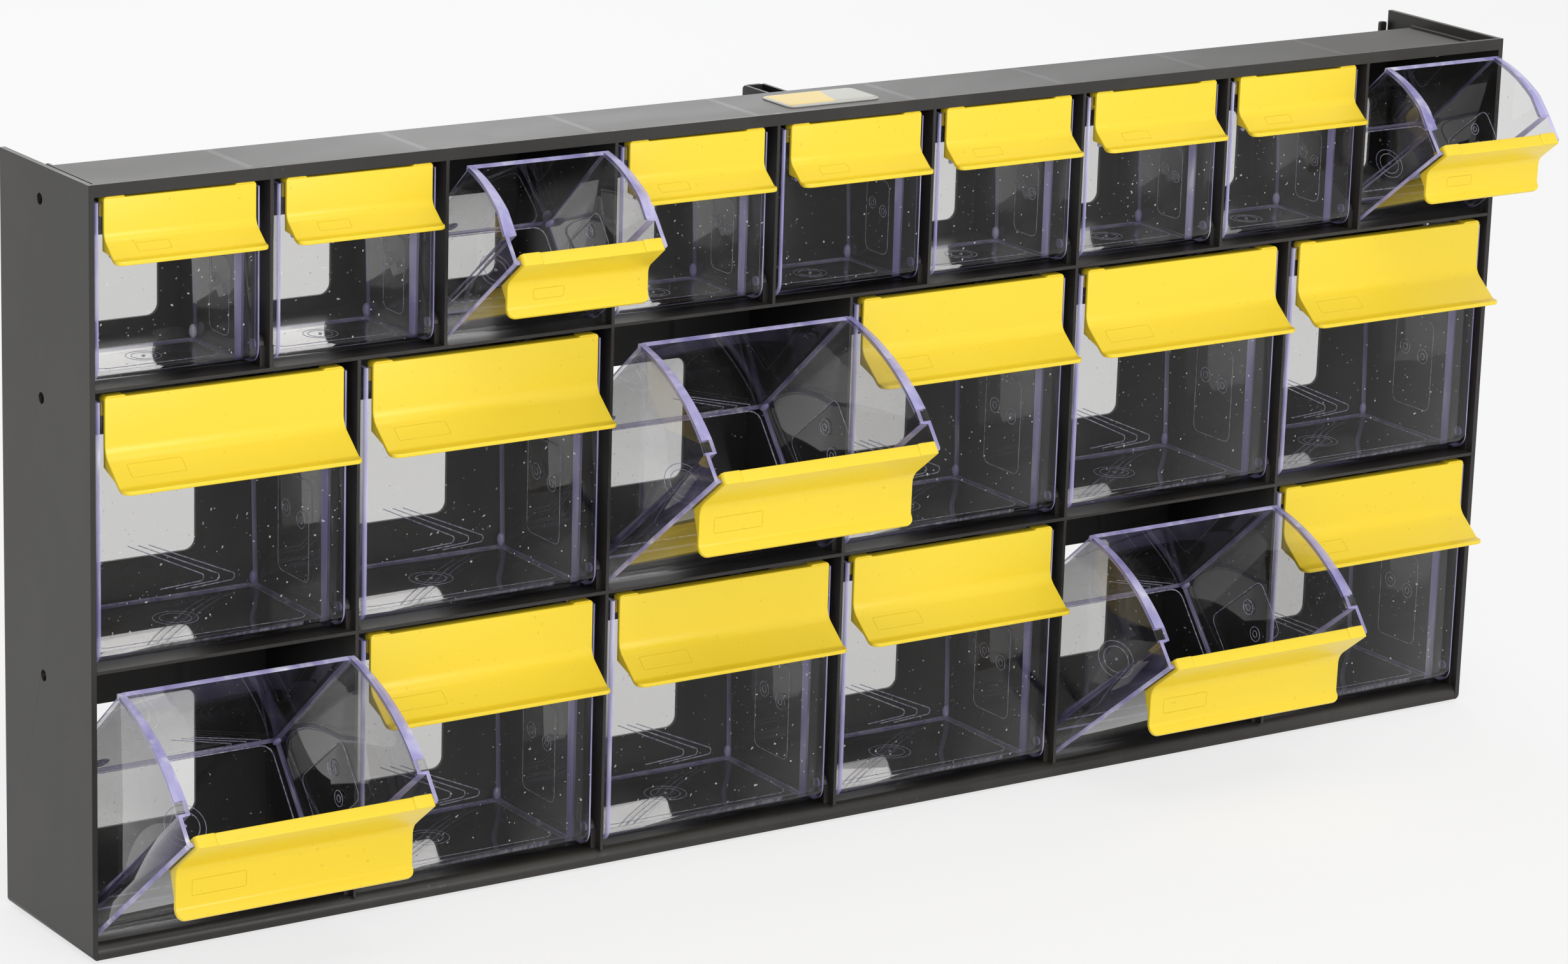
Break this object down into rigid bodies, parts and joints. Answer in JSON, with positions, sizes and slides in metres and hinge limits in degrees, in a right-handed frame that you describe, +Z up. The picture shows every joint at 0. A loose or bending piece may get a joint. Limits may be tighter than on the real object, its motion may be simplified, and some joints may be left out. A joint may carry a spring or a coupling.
{
  "type": "parts bin cabinet",
  "caption": "Low black cabinet with three rows of clear tilt-out bins, each with a yellow handle strip along its front, for sorting small parts.",
  "frame": {"origin": "on the surface it stands on, under the middle of the model's width and of its depth with the open bins", "axes": "+X right seen from the front, +Y from the front to the wall, +Z up"},
  "size_m": [0.6, 0.1327, 0.2672],
  "materials": {
    "housing": "satin black moulded plastic",
    "clear_bin": "clear polished moulded plastic, violet at the edges",
    "handle": "yellow moulded plastic",
    "label": "bare domed label, yellow and silver"
  },
  "bodies": {
    "housing": {"side_panel_left": "housing", "side_panel_right": "housing", "top_panel": "housing", "base_panel": "housing", "upper_shelf": "housing", "lower_shelf": "housing", "back_wall_top": "housing", "back_wall_middle": "housing", "back_wall_bottom": "housing", "dividers_top": "housing", "dividers_middle": "housing", "dividers_bottom": "housing", "hanging_tabs": "housing", "label": "label"},
    "top_bin_1": {"bin_top_1": "clear_bin", "handle_top_1": "handle"},
    "top_bin_2": {"bin_top_2": "clear_bin", "handle_top_2": "handle"},
    "top_bin_3": {"bin_top_3": "clear_bin", "handle_top_3": "handle"},
    "top_bin_4": {"bin_top_4": "clear_bin", "handle_top_4": "handle"},
    "top_bin_5": {"bin_top_5": "clear_bin", "handle_top_5": "handle"},
    "top_bin_6": {"bin_top_6": "clear_bin", "handle_top_6": "handle"},
    "top_bin_7": {"bin_top_7": "clear_bin", "handle_top_7": "handle"},
    "top_bin_8": {"bin_top_8": "clear_bin", "handle_top_8": "handle"},
    "top_bin_9": {"bin_top_9": "clear_bin", "handle_top_9": "handle"},
    "middle_bin_1": {"bin_middle_1": "clear_bin", "handle_middle_1": "handle"},
    "middle_bin_2": {"bin_middle_2": "clear_bin", "handle_middle_2": "handle"},
    "middle_bin_3": {"bin_middle_3": "clear_bin", "handle_middle_3": "handle"},
    "middle_bin_4": {"bin_middle_4": "clear_bin", "handle_middle_4": "handle"},
    "middle_bin_5": {"bin_middle_5": "clear_bin", "handle_middle_5": "handle"},
    "middle_bin_6": {"bin_middle_6": "clear_bin", "handle_middle_6": "handle"},
    "bottom_bin_1": {"bin_bottom_1": "clear_bin", "handle_bottom_1": "handle"},
    "bottom_bin_2": {"bin_bottom_2": "clear_bin", "handle_bottom_2": "handle"},
    "bottom_bin_3": {"bin_bottom_3": "clear_bin", "handle_bottom_3": "handle"},
    "bottom_bin_4": {"bin_bottom_4": "clear_bin", "handle_bottom_4": "handle"},
    "bottom_bin_5": {"bin_bottom_5": "clear_bin", "handle_bottom_5": "handle"},
    "bottom_bin_6": {"bin_bottom_6": "clear_bin", "handle_bottom_6": "handle"}
  },
  "joints": [
    {"name": "top_bin_1_tilt", "type": "hinge", "parent": "housing", "child": "top_bin_1", "pos_m": [-0.26667, 0.0066, 0.2059], "axis": [1, 0, 0], "range_deg": [0, 52]},
    {"name": "top_bin_2_tilt", "type": "hinge", "parent": "housing", "child": "top_bin_2", "pos_m": [-0.2, 0.0066, 0.2059], "axis": [1, 0, 0], "range_deg": [0, 52]},
    {"name": "top_bin_3_tilt", "type": "hinge", "parent": "housing", "child": "top_bin_3", "pos_m": [-0.13333, 0.0066, 0.2059], "axis": [1, 0, 0], "range_deg": [-52, 0]},
    {"name": "top_bin_4_tilt", "type": "hinge", "parent": "housing", "child": "top_bin_4", "pos_m": [-0.06667, 0.0066, 0.2059], "axis": [1, 0, 0], "range_deg": [0, 52]},
    {"name": "top_bin_5_tilt", "type": "hinge", "parent": "housing", "child": "top_bin_5", "pos_m": [0, 0.0066, 0.2059], "axis": [1, 0, 0], "range_deg": [0, 52]},
    {"name": "top_bin_6_tilt", "type": "hinge", "parent": "housing", "child": "top_bin_6", "pos_m": [0.06667, 0.0066, 0.2059], "axis": [1, 0, 0], "range_deg": [0, 52]},
    {"name": "top_bin_7_tilt", "type": "hinge", "parent": "housing", "child": "top_bin_7", "pos_m": [0.13333, 0.0066, 0.2059], "axis": [1, 0, 0], "range_deg": [0, 52]},
    {"name": "top_bin_8_tilt", "type": "hinge", "parent": "housing", "child": "top_bin_8", "pos_m": [0.2, 0.0066, 0.2059], "axis": [1, 0, 0], "range_deg": [0, 52]},
    {"name": "top_bin_9_tilt", "type": "hinge", "parent": "housing", "child": "top_bin_9", "pos_m": [0.26667, 0.0066, 0.2059], "axis": [1, 0, 0], "range_deg": [-52, 0]},
    {"name": "middle_bin_1_tilt", "type": "hinge", "parent": "housing", "child": "middle_bin_1", "pos_m": [-0.25, 0.0066, 0.1097], "axis": [1, 0, 0], "range_deg": [0, 52]},
    {"name": "middle_bin_2_tilt", "type": "hinge", "parent": "housing", "child": "middle_bin_2", "pos_m": [-0.15, 0.0066, 0.1097], "axis": [1, 0, 0], "range_deg": [0, 52]},
    {"name": "middle_bin_3_tilt", "type": "hinge", "parent": "housing", "child": "middle_bin_3", "pos_m": [-0.05, 0.0066, 0.1097], "axis": [1, 0, 0], "range_deg": [-52, 0]},
    {"name": "middle_bin_4_tilt", "type": "hinge", "parent": "housing", "child": "middle_bin_4", "pos_m": [0.05, 0.0066, 0.1097], "axis": [1, 0, 0], "range_deg": [0, 52]},
    {"name": "middle_bin_5_tilt", "type": "hinge", "parent": "housing", "child": "middle_bin_5", "pos_m": [0.15, 0.0066, 0.1097], "axis": [1, 0, 0], "range_deg": [0, 52]},
    {"name": "middle_bin_6_tilt", "type": "hinge", "parent": "housing", "child": "middle_bin_6", "pos_m": [0.25, 0.0066, 0.1097], "axis": [1, 0, 0], "range_deg": [0, 52]},
    {"name": "bottom_bin_1_tilt", "type": "hinge", "parent": "housing", "child": "bottom_bin_1", "pos_m": [-0.25, 0.0066, 0.0135], "axis": [1, 0, 0], "range_deg": [-52, 0]},
    {"name": "bottom_bin_2_tilt", "type": "hinge", "parent": "housing", "child": "bottom_bin_2", "pos_m": [-0.15, 0.0066, 0.0135], "axis": [1, 0, 0], "range_deg": [0, 52]},
    {"name": "bottom_bin_3_tilt", "type": "hinge", "parent": "housing", "child": "bottom_bin_3", "pos_m": [-0.05, 0.0066, 0.0135], "axis": [1, 0, 0], "range_deg": [0, 52]},
    {"name": "bottom_bin_4_tilt", "type": "hinge", "parent": "housing", "child": "bottom_bin_4", "pos_m": [0.05, 0.0066, 0.0135], "axis": [1, 0, 0], "range_deg": [0, 52]},
    {"name": "bottom_bin_5_tilt", "type": "hinge", "parent": "housing", "child": "bottom_bin_5", "pos_m": [0.15, 0.0066, 0.0135], "axis": [1, 0, 0], "range_deg": [-52, 0]},
    {"name": "bottom_bin_6_tilt", "type": "hinge", "parent": "housing", "child": "bottom_bin_6", "pos_m": [0.25, 0.0066, 0.0135], "axis": [1, 0, 0], "range_deg": [0, 52]}
  ]
}
